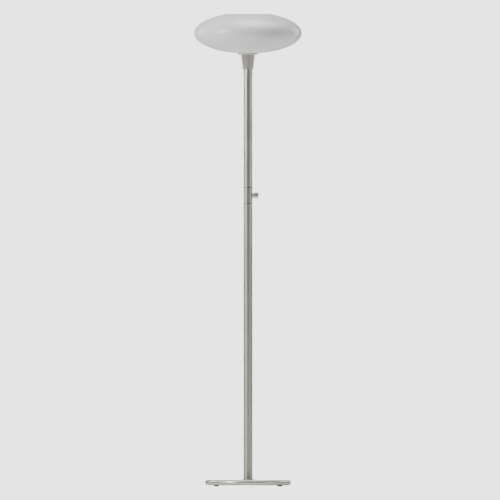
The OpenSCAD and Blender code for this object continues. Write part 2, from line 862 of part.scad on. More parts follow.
// Nut that clamps the neck to the column
module head_nut() {
    color("silver") hex_nut(nut_af, nipple_r + slip, neck_z0 + neck_floor_t, head_nut_t);
}

// Phenolic cap of the lampholder, screwed onto the nipple
module lampholder_cap() {
    color("black")
        difference() {
            translate([0, 0, holder_cap_z0]) cylinder(r = holder_cap_r, h = skirt_z0 - holder_cap_z0);
            translate([0, 0, holder_cap_z0 + holder_floor])
                cylinder(r = holder_cap_r - holder_cap_wall, h = skirt_z0 - holder_cap_z0);
            translate([0, 0, holder_cap_z0 - cut])
                cylinder(r = nipple_r + slip, h = holder_floor + 2 * cut);
        }
}

// Threaded skirt that passes up through the seat and the glass
module lampholder_skirt() {
    color("black")
        difference() {
            translate([0, 0, skirt_z0]) cylinder(r = skirt_r, h = skirt_z1 - skirt_z0);
            translate([0, 0, skirt_z0 + skirt_floor]) cylinder(r = skirt_in_r, h = skirt_z1 - skirt_z0);
            translate([0, 0, skirt_z0 - cut]) cylinder(r = skirt_hole_r, h = skirt_floor + 2 * cut);
        }
}

// Porcelain core with the two wire entries
module lampholder_core() {
    color("white")
        difference() {
            translate([0, 0, skirt_z0 + skirt_floor]) cylinder(r = skirt_in_r - slip, h = core_h);
            translate([0, 0, core_top - contact_sink])
                cylinder(r = contact_recess_r, h = contact_sink + cut);
        }
}

// Outline of the Edison thread: one ring a pitch, as points from the bottom to the top
function thread_points(offset) = [
    for (i = [0 : 6 * thread_turns])
        [thread_r + offset + thread_rise * cos(60 * i), cap_z0 + thread_pitch * i / 6]
];

// Plated brass shell that the lamp cap screws into, flanged where it sits on the core
module lampholder_screw_shell() {
    inner = thread_points(thread_gap);
    outer = [for (i = [len(inner) - 1 : -1 : 0]) inner[i] + [shell_t, 0]];
    foot_r = outer[len(outer) - 1][0];
    flange_r = 9;
    color("goldenrod")
        rotate_extrude(convexity = 6)
            polygon(concat(
                [[flange_r, core_top], [flange_r, core_top + shell_t]],
                [[foot_r - shell_t, core_top + shell_t]],
                inner, outer, [[foot_r, core_top]]
            ));
}

// Sprung centre contact, pressed down by the lamp's tip
module lampholder_contact() {
    color("goldenrod")
        translate([0, 0, core_top - contact_sink]) {
            translate([-contact_strip[0] / 2, -contact_strip[1] / 2, 0]) cube(contact_strip);
            cylinder(r = contact_r, h = contact_sink + contact_h);
        }
}

// ---- Shade ----

// Turned saucer that the glass rests on, with a spigot into the neck
module shade_seat() {
    seat_r = seat_d / 2;
    bore_r = skirt_r + 2 * loose;
    spigot_r = neck_top_d / 2 - neck_wall - 0.7;
    spigot_z = neck_top - 3;
    taper = 4;                          // how much wider the seat is at its top
    edge_h = 0.8;
    color("silver")
        rotate_extrude($fn = fine_fn)
            polygon([
                [bore_r, spigot_z], [spigot_r, spigot_z], [spigot_r, neck_top],
                [seat_r - taper, neck_top], [seat_r, seat_top - edge_h], [seat_r, seat_top],
                [bore_r, seat_top]
            ]);
}

// Rubber ring between the seat and the glass's ground foot
module lower_gasket() {
    color("dimgray")
        ring(glass_hole_d / 2 + gasket_inset, glass_foot_r - 2 * gasket_inset, seat_top,
            glass_foot_z - seat_top);
}

// Half of an ellipse about the shade's centre
module ellipse(a, b) {
    translate([0, shade_z]) scale([1, b / a]) circle(r = a, $fn = fine_fn);
}

// Blown opal glass: a flattened ellipsoid with a mouth above and a ground foot with a hole below
module glass_shade() {
    rim_r = glass_t / 2 - 0.02;
    rim_x = mouth_r + glass_t / 2;
    rim_outer = shade_z + shade_b * sqrt(1 - pow(rim_x / shade_r, 2));
    rim_inner = shade_z + inner_b * sqrt(1 - pow(rim_x / inner_a, 2));
    hole_r = glass_hole_d / 2;
    color("white")
        rotate_extrude($fn = fine_fn, convexity = 6) {
            intersection() {
                difference() {
                    ellipse(shade_r, shade_b);
                    ellipse(inner_a, inner_b);
                    translate([-cut, shade_z]) square([rim_x + cut, shade_b + cut]);
                    translate([-cut, shade_z - shade_b - cut])
                        square([ring_r + cut, shade_b + cut]);
                }
                translate([hole_r, glass_foot_z]) square([shade_r, lamp_h]);
            }
            translate([hole_r, glass_foot_z])
                square([ring_r - hole_r + 0.01, glass_floor_z - glass_foot_z]);
            translate([rim_x, (rim_outer + rim_inner) / 2]) circle(r = rim_r);
        }
}

// Rubber ring between the glass's floor and the clamping ring
module upper_gasket() {
    color("dimgray")
        ring(glass_hole_d / 2 - gasket_inset, ring_r - gasket_inset, glass_floor_z, gasket_t);
}

// Threaded ring that clamps the glass, with a notched hub to grip
module shade_ring() {
    color("black")
        translate([0, 0, ring_z])
            difference() {
                union() {
                    cylinder(r = ring_r - gasket_inset, h = ring_flange_h);
                    cylinder(r = ring_hub_r, h = ring_h);
                }
                translate([0, 0, -cut]) cylinder(r = skirt_r + slip, h = ring_h + 2 * cut);
                for (turn = [0 : 30 : 330])
                    rotate([0, 0, turn])
                        translate([ring_hub_r - ring_notch_depth, -ring_notch[1] / 2, ring_flange_h])
                            cube([ring_notch[0], ring_notch[1], ring_h]);
            }
}

// ---- Bulb ----

// Outline of the bulb's glass from its neck to its crown, taken in by an inset
function envelope_points(inset) =
    let (
        neck_r = bulb_neck_r - inset,
        crown_r = bulb_r - inset,
        joint = crown_r * [cos(joint_angle), -sin(joint_angle)] + [0, bulb_centre],
        tangent = shoulder_pull * [sin(joint_angle), cos(joint_angle)]
    )
    concat(
        [[neck_r, stem_z]],
        bezier([neck_r, cap_z1], [neck_r, cap_z1 + neck_pull], joint - tangent, joint, 10),
        [for (a = [9 - joint_angle : 9 : 90]) crown_r * [cos(a), sin(a)] + [0, bulb_centre]]
    );

// Frosted glass envelope of a standard pear-shaped lamp
module bulb_envelope() {
    outer = envelope_points(0);
    inner = envelope_points(bulb_wall);
    color("whitesmoke")
        rotate_extrude(convexity = 6)
            polygon(concat(outer, [for (i = [len(inner) - 1 : -1 : 0]) inner[i]]));
}

// Threaded metal cap
module bulb_cap() {
    color("silver")
        rotate_extrude(convexity = 6)
            polygon(concat(thread_points(0), [[cap_in_r, cap_z1], [cap_in_r, cap_z0]]));
}

// Black glass that closes the cap below
module bulb_insulator() {
    top_r = thread_r + thread_rise - 0.6;
    bottom_r = 5;
    hole_r = tip_neck_r + 0.1;
    color("black")
        rotate_extrude()
            polygon([
                [hole_r, bulb_z0 + tip_h], [bottom_r, bulb_z0 + tip_h], [top_r, cap_z0], [hole_r, cap_z0]
            ]);
}

// Solder contact at the bulb's tip
module bulb_tip() {
    color("lightgray")
        translate([0, 0, bulb_z0]) {
            cylinder(r1 = tip_r, r2 = tip_flare_r, h = tip_h);
            cylinder(r = tip_neck_r, h = tip_neck_h);
        }
}

// Glass stem, flared out to the wall of the envelope's neck
module bulb_stem() {
    flare_r = bulb_neck_r - bulb_wall;
    color("lightcyan")
        rotate_extrude()
            polygon(concat(
                [[0, stem_z], [flare_r, stem_z]],
                bezier([flare_r, stem_z + 1], [6, stem_z + 3], [stem_r, stem_z + 8],
                    [stem_r, stem_z + 14], 6),
                [[stem_r, stem_top], [0, stem_top]]
            ));
}

// Coiled filament, drawn as a rod, and its two support wires from the stem
module bulb_filament() {
    lean = 24;
    reach = 26;
    wire_x = 1.6;                       // where each wire leaves the stem
    wire_r = 0.4;
    coil_r = 0.5;
    span = 2 * (wire_x + reach * sin(lean));
    color("gray")
        difference() {
            union() {
                for (side = [-1, 1])
                    translate([wire_x * side, 0, stem_top - cut])
                        rotate([0, lean * side, 0]) cylinder(r = wire_r, h = reach);
                translate([-span / 2, 0, stem_top - cut + reach * cos(lean) - 0.3])
                    rotate([0, 90, 0]) cylinder(r = coil_r, h = span);
            }
            translate([-reach, -reach, stem_top - 2 * cut]) cube([2 * reach, 2 * reach, 2 * cut]);
        }
}

base_cover();
base_weight();
bottom_plate();
foot_pads();
foot_screws();
cord_bushing();
terminal_block();
terminal_inserts();
terminal_screws();
terminal_block_screw();
anchor_washer();
anchor_lock_washer();
anchor_nut();
anchor_nipple();
pole_collar();
lower_tube();
lower_tube_plug();
lower_coupler();
switch_housing();
upper_coupler();
upper_tube();
upper_tube_plug();
dimmer_case();
dimmer_back_plate();
dimmer_triac();
dimmer_choke();
dimmer_track();
dimmer_bushing();
dimmer_inner_nut();
dimmer_saddle_washer();
dimmer_outer_nut();
dimmer_shaft();
dimmer_wiper();
dimmer_knob();
knob_set_screw();
line_lead();
neutral_lead();
switched_lead();
head_nipple();
neck();
head_nut();
lampholder_cap();
lampholder_skirt();
lampholder_core();
lampholder_screw_shell();
lampholder_contact();
shade_seat();
lower_gasket();
glass_shade();
upper_gasket();
shade_ring();
bulb_envelope();
bulb_cap();
bulb_insulator();
bulb_tip();
bulb_stem();
bulb_filament();
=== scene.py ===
"""Torchiere floor lamp: pieces, finishes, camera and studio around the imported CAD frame, in metres."""
import json
import math

import bmesh
import bpy
from mathutils import Matrix, Vector


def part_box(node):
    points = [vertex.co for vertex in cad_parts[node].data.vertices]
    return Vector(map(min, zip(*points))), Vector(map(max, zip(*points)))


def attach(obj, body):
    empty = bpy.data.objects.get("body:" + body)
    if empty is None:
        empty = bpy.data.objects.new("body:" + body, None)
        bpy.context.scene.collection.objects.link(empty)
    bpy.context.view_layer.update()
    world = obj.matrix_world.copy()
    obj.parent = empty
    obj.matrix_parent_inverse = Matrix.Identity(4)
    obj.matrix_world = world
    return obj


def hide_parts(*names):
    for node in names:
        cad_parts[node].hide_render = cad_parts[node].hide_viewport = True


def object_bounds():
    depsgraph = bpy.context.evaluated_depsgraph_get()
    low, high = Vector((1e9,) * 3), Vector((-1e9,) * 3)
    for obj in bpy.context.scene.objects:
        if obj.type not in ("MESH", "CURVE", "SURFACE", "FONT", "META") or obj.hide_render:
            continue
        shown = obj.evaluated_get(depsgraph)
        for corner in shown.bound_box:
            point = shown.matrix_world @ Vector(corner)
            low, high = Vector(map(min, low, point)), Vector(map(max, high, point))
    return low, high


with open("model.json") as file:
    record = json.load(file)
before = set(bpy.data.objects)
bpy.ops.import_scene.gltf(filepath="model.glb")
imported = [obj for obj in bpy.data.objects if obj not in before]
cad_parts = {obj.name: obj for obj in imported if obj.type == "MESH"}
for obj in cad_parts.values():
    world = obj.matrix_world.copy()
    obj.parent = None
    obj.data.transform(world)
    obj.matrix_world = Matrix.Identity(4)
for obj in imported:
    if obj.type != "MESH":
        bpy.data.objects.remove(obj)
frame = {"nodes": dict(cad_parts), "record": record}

MM = 0.001
GROOVE_SHADE_HALF = 0.95 * MM                      # half the height of the painted shade in the groove at a joint of the column
FINE, MEDIUM, SMALL = 256, 128, 96      # segments round the large, middle and small pieces
SHARP = 32                              # degrees above which an edge is shaded as sharp
nodes = frame["nodes"]
cad_low, cad_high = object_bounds()
lamp_h = cad_high.z - cad_low.z
slot_of = {part["node"]: part["material_slot"] for part in frame["record"]["subparts"]}


# ---- Camera and light ----

def add_camera():
    """A level view from the front without perspective, a little wider than the lamp is tall."""
    data = bpy.data.cameras.new("camera")
    data.type = "ORTHO"
    data.ortho_scale = 1.058 * lamp_h
    data.clip_start, data.clip_end = 0.1, 60
    camera = bpy.data.objects.new("camera", data)
    camera.location = (0.0042 * lamp_h, -4, 0.5005 * lamp_h)
    camera.rotation_euler = (math.radians(90), 0, 0)
    bpy.context.scene.collection.objects.link(camera)
    bpy.context.scene.camera = camera


def add_area_light(name, at, aim, width, height, power, color):
    data = bpy.data.lights.new(name, "AREA")
    data.shape = "RECTANGLE"
    data.size, data.size_y = width, height
    data.energy = power
    data.color = color
    light = bpy.data.objects.new(name, data)
    light.location = at
    light.rotation_euler = (Vector(aim) - Vector(at)).to_track_quat("-Z", "Y").to_euler()
    bpy.context.scene.collection.objects.link(light)


def add_studio():
    """Softboxes: a large key, a weaker fill, two strips that edge the metal, one above, one below."""
    warm, white, cool = (1.0, 0.965, 0.92), (1, 1, 1), (0.93, 0.965, 1.0)
    middle, head = (0, 0, 0.6 * lamp_h), (0, 0, 0.95 * lamp_h)
    add_area_light("key", (-3.4, -2.2, 2.9), middle, 1.0, 2.4, 230, warm)
    add_area_light("fill", (3.4, -1.7, 1.8), middle, 0.5, 2.2, 16, cool)
    add_area_light("left_strip", (-3.0, 1.9, 2.0), middle, 0.3, 2.2, 40, white)
    add_area_light("right_strip", (2.8, 2.2, 2.0), middle, 0.3, 2.2, 34, white)
    add_area_light("overhead", (0.3, 0.4, 4.2), head, 2.0, 2.0, 90, white)
    add_area_light("under", (0.3, -0.8, -1.6), (0, 0, 0), 1.0, 1.0, 14, white)


def add_world(backdrop, walls, ceiling):
    """A pale backdrop for the camera, and a room with dim walls and a bright ceiling as light."""
    world = bpy.data.worlds.new("studio")
    bpy.context.scene.world = world
    world.use_nodes = True
    tree = world.node_tree
    tree.nodes.clear()
    output = tree.nodes.new("ShaderNodeOutputWorld")
    mix = tree.nodes.new("ShaderNodeMixShader")
    path = tree.nodes.new("ShaderNodeLightPath")
    tree.links.new(path.outputs["Is Camera Ray"], mix.inputs[0])
    room, seen = (tree.nodes.new("ShaderNodeBackground") for _ in range(2))
    seen.inputs["Color"].default_value = (*backdrop, 1)
    room.inputs["Color"].default_value = (0.97, 0.985, 1.0, 1)
    place, parts, rise = (tree.nodes.new("ShaderNode" + kind)
                          for kind in ("TexCoord", "SeparateXYZ", "MapRange"))
    rise.interpolation_type = "SMOOTHSTEP"
    wall_top, ceiling_edge = 0.05, 0.65         # as the height of a direction of unit length
    for socket, value in (("From Min", wall_top), ("From Max", ceiling_edge),
                          ("To Min", walls), ("To Max", ceiling)):
        rise.inputs[socket].default_value = value
    tree.links.new(place.outputs["Generated"], parts.inputs[0])
    tree.links.new(parts.outputs["Z"], rise.inputs["Value"])
    tree.links.new(rise.outputs[0], room.inputs["Strength"])
    tree.links.new(room.outputs[0], mix.inputs[1])
    tree.links.new(seen.outputs[0], mix.inputs[2])
    tree.links.new(mix.outputs[0], output.inputs["Surface"])


# ---- Finishes, and the floor that has one ----

class Finish:
    """A Principled material, with helpers for the patterns that vary it."""

    def __init__(self, name, color, roughness, metallic=0.0, **sockets):
        self.material = bpy.data.materials.new(name)
        self.material.use_nodes = True
        self.tree = self.material.node_tree
        self.shader = self.tree.nodes["Principled BSDF"]
        self.color = color
        self.set("Base Color", (*color, 1))
        self.set("Roughness", roughness)
        self.set("Metallic", metallic)
        for socket, value in sockets.items():
            self.set(socket.replace("_", " "), value)

    def set(self, socket, value):
        self.shader.inputs[socket].default_value = value

    def node(self, kind, **settings):
        made = self.tree.nodes.new("ShaderNode" + kind)
        for key, value in settings.items():
            setattr(made, key, value)
        return made

    def link(self, source, target):
        self.tree.links.new(source, target)

    def number(self, operation, a, b):
        """Math on an output and a number or another output."""
        made = self.node("Math", operation=operation)
        for socket, value in zip(made.inputs, (a, b)):
            if isinstance(value, (int, float)):
                socket.default_value = value
            else:
                self.link(value, socket)
        return made.outputs[0]

    def place(self):
        return self.node("TexCoord").outputs["Object"]

    def noise(self, scale, detail=3.0, vector=None, w=None, roughness=0.55):
        made = self.node("TexNoise", noise_dimensions="3D" if w is None else "4D")
        made.inputs["Scale"].default_value = scale
        made.inputs["Detail"].default_value = detail
        made.inputs["Roughness"].default_value = roughness
        self.link(vector or self.place(), made.inputs["Vector"])
        if w is not None:
            self.link(w, made.inputs["W"])
        return made.outputs[0]

    def lines(self, axis, centre, around, up, out):
        """Noise drawn out into polishing lines round or along an axis: the three numbers are its
        fineness round the axis, per metre along it, and per metre away from it."""
        parts = self.node("SeparateXYZ")
        shift = self.node("VectorMath", operation="SUBTRACT")
        shift.inputs[1].default_value = centre
        self.link(self.place(), shift.inputs[0])
        self.link(shift.outputs[0], parts.inputs[0])
        across, height = {"Z": ((0, 1), 2), "X": ((1, 2), 0)}[axis]
        flat = self.node("CombineXYZ")
        for socket, source in zip(flat.inputs, across):
            self.link(parts.outputs[source], socket)
        length = self.node("VectorMath", operation="LENGTH")
        self.link(flat.outputs[0], length.inputs[0])
        turn = self.node("VectorMath", operation="NORMALIZE")
        self.link(flat.outputs[0], turn.inputs[0])
        spread = self.node("VectorMath", operation="SCALE")
        self.link(turn.outputs[0], spread.inputs[0])
        spread.inputs["Scale"].default_value = around
        rise = self.node("CombineXYZ")
        self.link(self.number("MULTIPLY", parts.outputs[height], up), rise.inputs[2])
        joined = self.node("VectorMath", operation="ADD")
        self.link(spread.outputs[0], joined.inputs[0])
        self.link(rise.outputs[0], joined.inputs[1])
        reach = self.number("MULTIPLY", length.outputs["Value"], out)
        return self.noise(1.0, 4.0, joined.outputs[0], reach, 0.7)

    def between(self, mask, low, high, lowest=0.3, highest=0.7):
        """Maps a noise's usual range, or another one, to a range of values."""
        made = self.node("MapRange")
        ends = {"From Min": lowest, "From Max": highest, "To Min": low, "To Max": high}
        for socket, value in ends.items():
            made.inputs[socket].default_value = value
        self.link(mask, made.inputs["Value"])
        return made.outputs[0]

    def vary_roughness(self, mask, low, high):
        self.link(self.between(mask, low, high), self.shader.inputs["Roughness"])

    def vary_color(self, mask, other, most=1.0):
        """Mixes the base colour towards another one."""
        mix = self.node("Mix", data_type="RGBA")
        self.link(self.between(mask, 0, most), mix.inputs[0])
        mix.inputs[6].default_value = (*self.color, 1)
        mix.inputs[7].default_value = (*other, 1)
        self.link(mix.outputs[2], self.shader.inputs["Base Color"])

    def paint_groove_shade(self, levels, half, dark):
        """Paints shade into the base colour: a near-black band in the grooves round the column, at some
        heights, as a shadow line.
        """
        parts = self.node("SeparateXYZ")
        self.link(self.place(), parts.inputs[0])
        mask = 0.0
        for level in levels:
            distance = self.number("ABSOLUTE", self.number("SUBTRACT", parts.outputs[2], level), 0.0)
            mask = self.number("MAXIMUM", self.between(distance, 1, 0, 0.6 * half, half), mask)
        mix = self.node("Mix", data_type="RGBA")
        self.link(mask, mix.inputs[0])
        socket = self.shader.inputs["Base Color"]
        self.link(socket.links[0].from_socket, mix.inputs[6])
        mix.inputs[7].default_value = (*dark, 1)
        self.link(mix.outputs[2], socket)

    def bump(self, *layers):
        """Stacks bumps: each layer is a height output and its depth in metres."""
        last = None
        for height, depth in layers:
            made = self.node("Bump")
            made.inputs["Distance"].default_value = depth
            self.link(height, made.inputs["Height"])
            if last:
                self.link(last, made.inputs["Normal"])
            last = made.outputs[0]
        self.link(last, self.shader.inputs["Normal"])


def satin_nickel(name, axis="Z", centre=(0, 0, 0), along=False, grooves=()):
    """Nickel plate with fine polishing lines, lengthwise or round the axis, and handling marks, and
    painted shade in the grooves at the heights given.
    """
    f = Finish(name, (0.60, 0.572, 0.532), 0.3, 1.0,
               Anisotropic=0.5, Anisotropic_Rotation=0.25 if along else 0)
    tangent = f.node("Tangent", direction_type="RADIAL", axis=axis)
    f.link(tangent.outputs[0], f.shader.inputs["Tangent"])
    lines = f.lines(axis, centre, 42, 9, 900) if along else f.lines(axis, centre, 1.6, 2200, 2200)
    smudges = f.noise(9, 4)
    f.vary_color(lines, (0.47, 0.446, 0.41), 0.8)
    # painted shade: the grooves at the column's joints turn nearly black, as their shadow line
    if grooves:
        f.paint_groove_shade(grooves, GROOVE_SHADE_HALF, (0.05, 0.046, 0.042))
    mixed = f.number("ADD", f.number("MULTIPLY", lines, 0.7), f.number("MULTIPLY", smudges, 0.3))
    f.vary_roughness(mixed, 0.23, 0.39)
    f.bump((lines, 0.02 * MM))
    return f.material


def opal_glass():
    """White cased glass with an acid-etched skin: soft inside, faintly clouded, with a blown surface."""
    f = Finish("opal_glass", (0.93, 0.925, 0.91), 0.32, Subsurface_Weight=1.0, Subsurface_Scale=0.02,
               Coat_Weight=0.22, Coat_Roughness=0.16, IOR=1.5)
    f.set("Subsurface Radius", (1.0, 0.97, 0.92))
    f.vary_color(f.noise(14, 3), (0.90, 0.90, 0.89), 0.8)
    f.vary_roughness(f.noise(55, 4), 0.28, 0.37)
    f.bump((f.noise(26, 2), 0.10 * MM), (f.noise(900, 2), 0.004 * MM))
    return f.material


def cast_iron():
    """Raw grey casting with a sandy skin and a little rust."""
    f = Finish("cast_iron", (0.12, 0.118, 0.115), 0.75, 0.6)
    f.vary_color(f.noise(60, 6), (0.20, 0.10, 0.055), 0.55)
    f.vary_roughness(f.noise(300, 4), 0.6, 0.9)
    f.bump((f.noise(700, 4), 0.18 * MM), (f.noise(60, 3), 0.3 * MM))
    return f.material


def powder_coat():
    """Black powder coat with its fine orange-peel texture."""
    f = Finish("powder_coat", (0.028, 0.028, 0.030), 0.5)
    f.vary_color(f.noise(30, 4), (0.045, 0.045, 0.047), 0.7)
    f.vary_roughness(f.noise(150, 3), 0.42, 0.6)
    f.bump((f.noise(1400, 2), 0.05 * MM))
    return f.material


def zinc_plate():
    """Bright zinc with a faint blue and yellow cast."""
    f = Finish("zinc_plate", (0.60, 0.62, 0.65), 0.35, 1.0)
    f.vary_color(f.noise(400, 3), (0.66, 0.63, 0.52), 0.8)
    f.vary_roughness(f.noise(900, 3), 0.28, 0.46)
    f.bump((f.noise(2600, 2), 0.006 * MM))
    return f.material


def turned_brass():
    """Machined brass, slightly dulled."""
    f = Finish("turned_brass", (0.72, 0.53, 0.25), 0.3, 1.0)
    f.vary_color(f.noise(180, 4), (0.50, 0.34, 0.15), 0.6)
    f.vary_roughness(f.noise(700, 3), 0.22, 0.42)
    f.bump((f.lines("Z", (0, 0, 0), 2, 3200, 3200), 0.01 * MM))
    return f.material


def rubber():
    """Moulded black rubber with a dry bloom."""
    f = Finish("rubber", (0.022, 0.022, 0.022), 0.75)
    f.vary_color(f.noise(120, 5), (0.055, 0.054, 0.052), 0.8)
    f.vary_roughness(f.noise(400, 4), 0.65, 0.9)
    f.bump((f.noise(1800, 3), 0.03 * MM))
    return f.material


def moulded(name, color, other, roughness, grain=0.012):
    """Moulded plastic: slight flow marks, a fine spark-eroded grain."""
    f = Finish(name, color, roughness)
    f.vary_color(f.noise(45, 5), other, 0.8)
    f.vary_roughness(f.noise(260, 4), roughness - 0.06, roughness + 0.08)
    f.bump((f.noise(2200, 2), grain * MM))
    return f.material


def porcelain():
    """White glazed steatite with faint specks."""
    f = Finish("porcelain", (0.86, 0.85, 0.82), 0.18, Coat_Weight=0.6, Coat_Roughness=0.06)
    f.vary_color(f.noise(900, 2), (0.74, 0.72, 0.67), 0.5)
    f.bump((f.noise(220, 3), 0.03 * MM))
    return f.material


def silicone():
    """Grey silicone sheet."""
    f = Finish("silicone", (0.40, 0.41, 0.42), 0.6, Subsurface_Weight=0.15, Subsurface_Scale=0.002)
    f.vary_color(f.noise(130, 3), (0.46, 0.47, 0.48), 0.8)
    f.bump((f.noise(1500, 2), 0.015 * MM))
    return f.material


def stamped_metal(name, color, other, roughness):
    """Thin stamped or soldered metal with drawing marks."""
    f = Finish(name, color, roughness, 1.0)
    f.vary_color(f.noise(300, 4), other, 0.7)
    f.vary_roughness(f.noise(900, 3), roughness - 0.07, roughness + 0.1)
    f.bump((f.lines("Z", (0, 0, 0), 40, 900, 900), 0.008 * MM))
    return f.material


def frosted_bulb():
    """Clear outer surface over a white inner frosting."""
    f = Finish("frosted_bulb", (0.91, 0.908, 0.895), 0.4, Subsurface_Weight=0.3, Subsurface_Scale=0.004,
               Coat_Weight=0.9, Coat_Roughness=0.04)
    f.vary_color(f.noise(70, 4), (0.86, 0.858, 0.845), 0.7)
    f.vary_roughness(f.noise(400, 3), 0.34, 0.48)
    f.bump((f.noise(45, 2), 0.05 * MM))
    return f.material


def clear_glass():
    f = Finish("clear_glass", (0.92, 0.95, 0.95), 0.05, Transmission_Weight=0.9, IOR=1.5)
    f.vary_roughness(f.noise(300, 3), 0.03, 0.08)
    f.bump((f.noise(150, 2), 0.03 * MM))
    return f.material


def pale_floor():
    """Matte studio floor that is clear from below and lets light up, to show the underside."""
    f = Finish("pale_floor", (0.88, 0.88, 0.875), 0.85)
    f.vary_color(f.noise(0.7, 3), (0.85, 0.85, 0.848), 0.7)
    clear = f.node("BsdfTransparent")
    mix = f.node("MixShader")
    f.link(f.number("MAXIMUM", f.node("NewGeometry").outputs["Backfacing"],
                    f.node("LightPath").outputs["Is Shadow Ray"]), mix.inputs[0])
    f.link(f.shader.outputs[0], mix.inputs[1])
    f.link(clear.outputs[0], mix.inputs[2])
    f.link(mix.outputs[0], f.tree.nodes["Material Output"].inputs["Surface"])
    return f.material


def add_floor():
    """A floor far wider than any view."""
    reach = 25
    mesh = bpy.data.meshes.new("floor")
    corners = [(-reach, -reach, 0), (reach, -reach, 0), (reach, reach, 0), (-reach, reach, 0)]
    mesh.from_pydata(corners, [], [(0, 1, 2, 3)])
    mesh.materials.append(pale_floor())
    floor = bpy.data.objects.new("floor", mesh)
    bpy.context.scene.collection.objects.link(floor)


# ---- Turned shapes ----

def rounded(corners, steps=5):
    """Closed outline through (radius, height, rounding) corners, with an arc at each rounded one."""
    outline = []
    for i, (x, z, r) in enumerate(corners):
        corner = Vector((x, z))
        if not r:
            outline.append(corner)
            continue
        before = (Vector(corners[i - 1][:2]) - corner).normalized()
        after = (Vector(corners[(i + 1) % len(corners)][:2]) - corner).normalized()
        half = before.angle(after) / 2
        centre = corner + (before + after).normalized() * (r / math.sin(half))
        start = corner + before * (r / math.tan(half)) - centre
        sweep = math.pi - 2 * half
        if before.cross(after) > 0:
            sweep = -sweep
        for k in range(steps + 1):
            a = sweep * k / steps
            outline.append(centre + Vector((start.x * math.cos(a) - start.y * math.sin(a),
                                            start.x * math.sin(a) + start.y * math.cos(a))))
    return outline


def ellipse_arc(a, b, centre_z, start, end, steps):
    """Points of an ellipse about the lamp's axis, from one angle to another."""
    angles = [start + (end - start) * k / steps for k in range(steps + 1)]
    return [Vector((a * math.cos(t), centre_z + b * math.sin(t))) for t in angles]


def lathe(outline, segments, axis="Z", centre=(0, 0, 0)):
    """Vertices and faces of a closed (radius, height) outline turned round an axis."""
    angles = [2 * math.pi * k / segments for k in range(segments)]
    return sweep(outline, angles, lambda r, h, a: r, axis, centre)


def sweep(outline, angles, reach_at, axis="Z", centre=(0, 0, 0)):
    """As lathe, at the angles given, with the radius that a function of radius, height, angle says."""
    segments = len(angles)
    verts, rings, faces = [], [], []
    for r, h in outline:
        first = len(verts)
        count = 1 if r < 1e-7 else segments
        for a in angles[:count]:
            reach = reach_at(r, h, a)
            u, v = reach * math.cos(a), reach * math.sin(a)
            spot = {"X": (h, u, v), "Y": (v, h, u), "Z": (u, v, h)}[axis]
            verts.append(tuple(s + c for s, c in zip(spot, centre)))
        rings.append([first + k % count for k in range(segments)])
    for lower, upper in zip(rings, rings[1:] + rings[:1]):
        for k in range(segments):
            j = (k + 1) % segments
            face = list(dict.fromkeys((lower[k], lower[j], upper[j], upper[k])))
            if len(face) > 2:
                faces.append(face)
    return verts, faces


def make_piece(name, shapes, finish, body, replaced, sharp=SHARP):
    """Builds one smooth-shaded piece from lathed shapes, and puts it in the place of a CAD node."""
    verts, faces = [], []
    for shape_verts, shape_faces in shapes:
        first = len(verts)
        verts += shape_verts
        faces += [[first + v for v in face] for face in shape_faces]
    mesh = bpy.data.meshes.new(name)
    mesh.from_pydata(verts, [], faces)
    piece = bpy.data.objects.new(name, mesh)
    bpy.context.scene.collection.objects.link(piece)
    mesh.materials.append(finish)
    clean(mesh, sharp)
    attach(piece, body)
    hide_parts(replaced)
    return piece


def clean(mesh, sharp):
    """Outward normals, smooth shading, and sharp edges above an angle in degrees."""
    work = bmesh.new()
    work.from_mesh(mesh)
    bmesh.ops.remove_doubles(work, verts=work.verts, dist=1e-7)
    bmesh.ops.dissolve_degenerate(work, edges=work.edges, dist=1e-8)
    bmesh.ops.recalc_face_normals(work, faces=work.faces)
    work.to_mesh(mesh)
    work.free()
    mesh.polygons.foreach_set("use_smooth", [True] * len(mesh.polygons))
    mesh.set_sharp_from_angle(angle=math.radians(sharp))


def weigh_normals(piece):
    """Keeps flat faces flat beside their rounded edges."""
    modifier = piece.modifiers.new("weigh_normals", "WEIGHTED_NORMAL")
    modifier.keep_sharp = True


def drill(piece, axis, centre, radius, length):
    """Cuts a round hole through a piece, about an axis and a centre."""
    half, segments = length / 2, 64
    outline = [Vector((0, -half)), Vector((radius, -half)), Vector((radius, half)), Vector((0, half))]
    verts, faces = lathe(outline, segments, axis)
    half_step = Matrix.Rotation(math.pi / segments, 3, axis)    # keeps its corners off the piece's
    mesh = bpy.data.meshes.new("drill")
    mesh.from_pydata([half_step @ Vector(v) + Vector(centre) for v in verts], [], faces)
    clean(mesh, SHARP)
    cutter = bpy.data.objects.new("drill", mesh)
    bpy.context.scene.collection.objects.link(cutter)
    modifier = piece.modifiers.new("drill", "BOOLEAN")
    modifier.operation = "DIFFERENCE"
    modifier.solver = "EXACT"
    modifier.object = cutter
    graph = bpy.context.evaluated_depsgraph_get()
    cut = bpy.data.meshes.new_from_object(piece.evaluated_get(graph))
    piece.modifiers.clear()
    whole, piece.data = piece.data, cut
    cut.name = piece.name
    bpy.data.meshes.remove(whole)
    bpy.data.objects.remove(cutter)
    bpy.data.meshes.remove(mesh)
    clean(cut, SHARP)


# ---- The lamp's turned pieces ----

NIPPLE_HOLE = 5.2 * MM                  # radius of the holes that the pipe nipple passes


def turned_ring(name, node, corners, finish, segments):
    """A piece about the column's axis, in place of one CAD node."""
    weigh_normals(make_piece(name, [lathe(rounded(corners), segments)], finish, "lamp", node))


